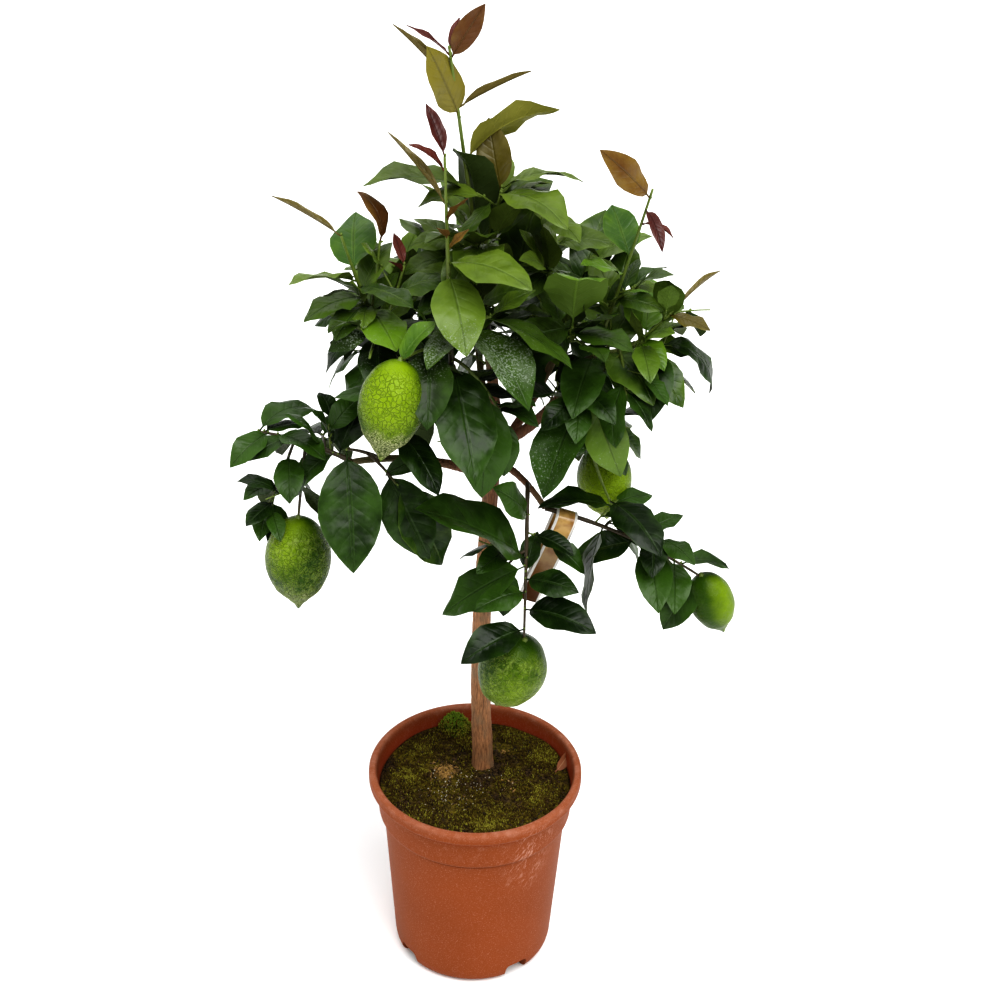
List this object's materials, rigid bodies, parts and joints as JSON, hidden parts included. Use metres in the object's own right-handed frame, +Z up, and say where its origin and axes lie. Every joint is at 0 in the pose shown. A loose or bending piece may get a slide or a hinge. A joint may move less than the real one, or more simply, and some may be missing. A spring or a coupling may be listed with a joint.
{
  "type": "potted lemon tree",
  "caption": "Young standard lemon tree with a bare trunk, a loose leafy crown and green fruit, growing in a round plastic nursery pot.",
  "frame": {"origin": "centre of the pot's flat underside", "axes": "+Z up along the pot's axis and the trunk, -Y the side that the picture looks at, +X to the picture's right"},
  "size_m": [0.4344, 0.3529, 0.9437],
  "materials": {
    "pot": "matt terracotta-coloured plastic",
    "soil": "moist potting mix of bark, peat and moss",
    "trunk_bark": "fine grey-brown bark",
    "bough_bark": "young green-brown bark",
    "foliage": "glossy evergreen leaves, twigs and green fruit",
    "label": "plain glossy card strip"
  },
  "bodies": {
    "root": {"bough_back": "bough_bark", "bough_back_left": "bough_bark", "bough_back_right": "bough_bark", "bough_front": "bough_bark", "bough_leader": "bough_bark", "bough_low_left": "bough_bark", "bough_low_right": "bough_bark", "bough_right": "bough_bark", "bough_upper_left": "bough_bark", "crown_back": "foliage", "crown_back_left": "foliage", "crown_back_right": "foliage", "crown_front": "foliage", "crown_hanging": "foliage", "crown_low_front": "foliage", "crown_low_inner": "foliage", "crown_low_left": "foliage", "crown_low_right": "foliage", "crown_right": "foliage", "crown_top": "foliage", "crown_upper_left": "foliage", "crown_upper_right": "foliage", "loop_label": "label", "pot": "pot", "soil": "soil", "trunk": "trunk_bark"}
  },
  "joints": []
}
